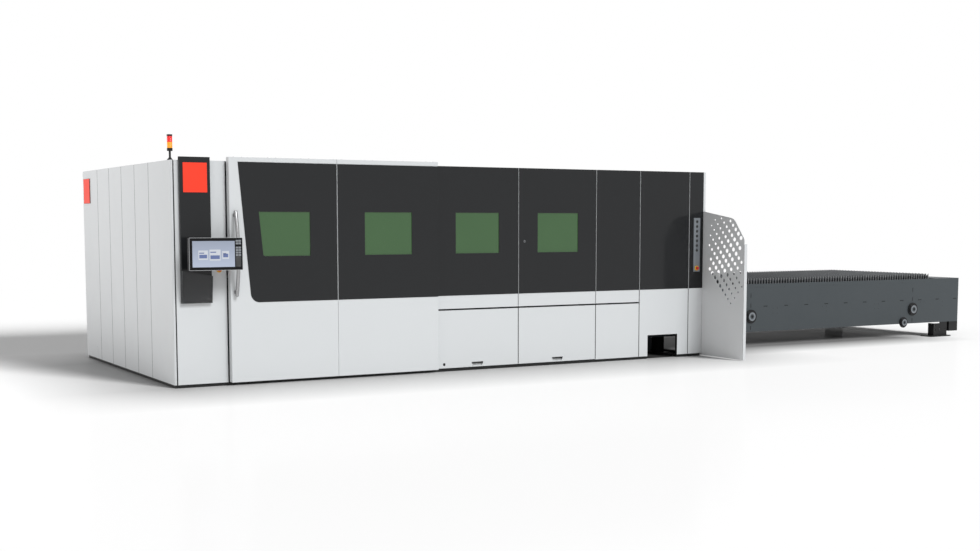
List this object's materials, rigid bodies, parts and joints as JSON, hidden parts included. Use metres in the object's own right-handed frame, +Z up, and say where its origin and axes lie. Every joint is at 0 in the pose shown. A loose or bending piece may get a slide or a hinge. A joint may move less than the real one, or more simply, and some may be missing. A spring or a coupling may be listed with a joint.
{
  "type": "fiber laser cutting machine",
  "caption": "Enclosed sheet-metal laser cutting machine with a sliding door, green safety windows, a swivelling control panel, a perforated guard wing and a slatted pallet changer.",
  "frame": {"origin": "on the floor, under the middle of the overall box", "axes": "+X along the machine from the operator column to the changer end, +Y from the operator side to the rear, +Z up"},
  "size_m": [12.56, 4.647, 2.668],
  "materials": {
    "white_paint": "fine powder coat, satin",
    "dark_plate": "smooth dark coat, satin",
    "green_glass": "green laser safety pane",
    "black_paint": "black powder coat",
    "slate_paint": "slate grey powder coat",
    "bright_steel": "brushed",
    "slat_steel": "dark scaled steel",
    "accent_red": "orange-red coat, satin",
    "strip_grey": "grey anodised",
    "button_black": "matt",
    "stop_red": "gloss",
    "stop_yellow": "satin",
    "lens_red": "translucent",
    "lens_amber": "translucent",
    "panel_housing": "satin dark housing",
    "screen_glass": "lit screen",
    "belt_rubber": "matt",
    "roller_plastic": "matt",
    "cabinet_paint": "light grey powder coat"
  },
  "bodies": {
    "cabin": {"base_plinth": "black_paint", "left_wall_panels": "white_paint", "front_frame": "black_paint", "front_panels": "white_paint", "front_dark_plates": "dark_plate", "fixed_windows": "green_glass", "roof_panels": "white_paint", "rear_wall_panels": "white_paint", "end_wall": "white_paint", "partition_wall": "white_paint", "guard_wing": "white_paint", "operator_column": "dark_plate", "accent_plates": "accent_red", "button_strip": "strip_grey", "stop_bases": "stop_yellow", "signal_mast": "black_paint", "signal_red_lens": "lens_red", "signal_amber_lens": "lens_amber", "door_track": "bright_steel", "machine_frame": "slate_paint", "control_cabinets": "cabinet_paint", "scrap_bin": "slate_paint", "conveyor_frame": "slate_paint", "conveyor_belt": "belt_rubber", "changer_frame": "slate_paint", "changer_legs": "black_paint"},
    "door": {"door_leaf": "white_paint", "door_dark_plates": "dark_plate", "door_windows": "green_glass", "door_handle": "bright_steel"},
    "roller_left": {"door_roller_left": "roller_plastic"},
    "roller_right": {"door_roller_right": "roller_plastic"},
    "left_flap": {"flap_left": "white_paint"},
    "right_flap": {"flap_right": "white_paint"},
    "control_panel": {"hmi_housing": "panel_housing", "hmi_screen": "screen_glass"},
    "column_stop": {"column_stop_button": "stop_red"},
    "strip_stop": {"strip_stop_button": "stop_red"},
    "shutter": {"entry_shutter": "slate_paint"},
    "gantry": {"gantry_beam": "white_paint"},
    "cross_carriage": {"carriage": "dark_plate"},
    "head": {"cutting_head": "bright_steel"},
    "cradle": {"lift_cradle": "slate_paint"},
    "outer_pallet": {"outer_pallet_frame": "slate_paint", "outer_slats": "slat_steel"},
    "outer_wheels_left": {"outer_wheelset_left": "bright_steel"},
    "outer_wheels_right": {"outer_wheelset_right": "bright_steel"},
    "inner_pallet": {"inner_pallet_frame": "slate_paint", "inner_slats": "slat_steel"},
    "inner_wheels_left": {"inner_wheelset_left": "bright_steel"},
    "inner_wheels_right": {"inner_wheelset_right": "bright_steel"},
    "drive_drum": {"conveyor_drive_drum": "bright_steel"},
    "tail_drum": {"conveyor_tail_drum": "bright_steel"},
    "button_1": {"strip_button_1": "button_black"},
    "button_2": {"strip_button_2": "button_black"},
    "button_3": {"strip_button_3": "button_black"},
    "button_4": {"strip_button_4": "button_black"},
    "button_5": {"strip_button_5": "button_black"},
    "button_6": {"strip_button_6": "button_black"},
    "button_7": {"strip_button_7": "button_black"}
  },
  "joints": [
    {"name": "door_slide", "type": "slide", "parent": "cabin", "child": "door", "axis": [1, 0, 0], "range_m": [0, 2.45]},
    {"name": "roller_left_spin", "type": "hinge", "parent": "door", "child": "roller_left", "pos_m": [-5.358, -1.4195, 2.3343], "axis": [0, 1, 0], "continuous": true},
    {"name": "roller_right_spin", "type": "hinge", "parent": "door", "child": "roller_right", "pos_m": [-3.498, -1.4195, 2.3343], "axis": [0, 1, 0], "continuous": true},
    {"name": "left_flap_hinge", "type": "hinge", "parent": "cabin", "child": "left_flap", "pos_m": [-2.6055, -1.4975, 0.729], "axis": [1, 0, 0], "range_deg": [-85, 0]},
    {"name": "right_flap_hinge", "type": "hinge", "parent": "cabin", "child": "right_flap", "pos_m": [-1.471, -1.4975, 0.729], "axis": [1, 0, 0], "range_deg": [-85, 0]},
    {"name": "panel_swivel", "type": "hinge", "parent": "cabin", "child": "control_panel", "pos_m": [-5.936, -1.6935, 1.422], "axis": [0, 0, 1], "range_deg": [-35, 0]},
    {"name": "button_1_press", "type": "slide", "parent": "cabin", "child": "button_1", "axis": [0, 1, 0], "range_m": [0, 0.004], "stiffness_N_per_m": 900},
    {"name": "button_2_press", "type": "slide", "parent": "cabin", "child": "button_2", "axis": [0, 1, 0], "range_m": [0, 0.004], "stiffness_N_per_m": 900},
    {"name": "button_3_press", "type": "slide", "parent": "cabin", "child": "button_3", "axis": [0, 1, 0], "range_m": [0, 0.004], "stiffness_N_per_m": 900},
    {"name": "button_4_press", "type": "slide", "parent": "cabin", "child": "button_4", "axis": [0, 1, 0], "range_m": [0, 0.004], "stiffness_N_per_m": 900},
    {"name": "button_5_press", "type": "slide", "parent": "cabin", "child": "button_5", "axis": [0, 1, 0], "range_m": [0, 0.004], "stiffness_N_per_m": 900},
    {"name": "button_6_press", "type": "slide", "parent": "cabin", "child": "button_6", "axis": [0, 1, 0], "range_m": [0, 0.004], "stiffness_N_per_m": 900},
    {"name": "button_7_press", "type": "slide", "parent": "cabin", "child": "button_7", "axis": [0, 1, 0], "range_m": [0, 0.004], "stiffness_N_per_m": 900},
    {"name": "strip_stop_press", "type": "slide", "parent": "cabin", "child": "strip_stop", "axis": [0, 1, 0], "range_m": [0, 0.004], "stiffness_N_per_m": 1500},
    {"name": "column_stop_press", "type": "slide", "parent": "cabin", "child": "column_stop", "axis": [0, 1, 0], "range_m": [0, 0.004], "stiffness_N_per_m": 1500},
    {"name": "shutter_drop", "type": "slide", "parent": "cabin", "child": "shutter", "axis": [0, 0, -1], "range_m": [0, 0.35]},
    {"name": "gantry_travel", "type": "slide", "parent": "cabin", "child": "gantry", "axis": [1, 0, 0], "range_m": [0, 4.05]},
    {"name": "carriage_travel", "type": "slide", "parent": "gantry", "child": "cross_carriage", "axis": [0, 1, 0], "range_m": [0, 1.78]},
    {"name": "head_travel", "type": "slide", "parent": "cross_carriage", "child": "head", "axis": [0, 0, 1], "range_m": [-0.03, 0.12]},
    {"name": "cradle_lift", "type": "slide", "parent": "cabin", "child": "cradle", "axis": [0, 0, 1], "range_m": [0, 0.3]},
    {"name": "pallet_exchange", "type": "slide", "parent": "cabin", "child": "outer_pallet", "axis": [1, 0, 0], "range_m": [-6.85, 0]},
    {"name": "inner_pallet_travel", "type": "slide", "parent": "cradle", "child": "inner_pallet", "axis": [1, 0, 0], "range_m": [0, 6.85]},
    {"name": "outer_wheels_left_spin", "type": "hinge", "parent": "outer_pallet", "child": "outer_wheels_left", "pos_m": [1.924, 0.1765, 0.7903], "axis": [0, 1, 0], "continuous": true},
    {"name": "inner_wheels_left_spin", "type": "hinge", "parent": "inner_pallet", "child": "inner_wheels_left", "pos_m": [-4.926, 0.1765, 0.4903], "axis": [0, 1, 0], "continuous": true},
    {"name": "outer_wheels_right_spin", "type": "hinge", "parent": "outer_pallet", "child": "outer_wheels_right", "pos_m": [5.502, 0.1765, 0.7903], "axis": [0, 1, 0], "continuous": true},
    {"name": "inner_wheels_right_spin", "type": "hinge", "parent": "inner_pallet", "child": "inner_wheels_right", "pos_m": [-1.348, 0.1765, 0.4903], "axis": [0, 1, 0], "continuous": true},
    {"name": "drive_drum_spin", "type": "hinge", "parent": "cabin", "child": "drive_drum", "pos_m": [-0.258, 0.1765, 0.229], "axis": [0, 1, 0], "continuous": true},
    {"name": "tail_drum_spin", "type": "hinge", "parent": "cabin", "child": "tail_drum", "pos_m": [-5.286, 0.1765, 0.229], "axis": [0, 1, 0], "continuous": true}
  ],
  "couplings": [
    {"joint": "roller_left_spin", "follows": "door_slide", "rad_per_m": 33.333},
    {"joint": "roller_right_spin", "follows": "door_slide", "rad_per_m": 33.333},
    {"joint": "inner_pallet_travel", "follows": "pallet_exchange", "ratio": -1},
    {"joint": "outer_wheels_left_spin", "follows": "pallet_exchange", "rad_per_m": 20},
    {"joint": "outer_wheels_right_spin", "follows": "pallet_exchange", "rad_per_m": 20},
    {"joint": "inner_wheels_left_spin", "follows": "pallet_exchange", "rad_per_m": -20},
    {"joint": "inner_wheels_right_spin", "follows": "pallet_exchange", "rad_per_m": -20},
    {"joint": "tail_drum_spin", "follows": "drive_drum_spin", "ratio": 1}
  ]
}
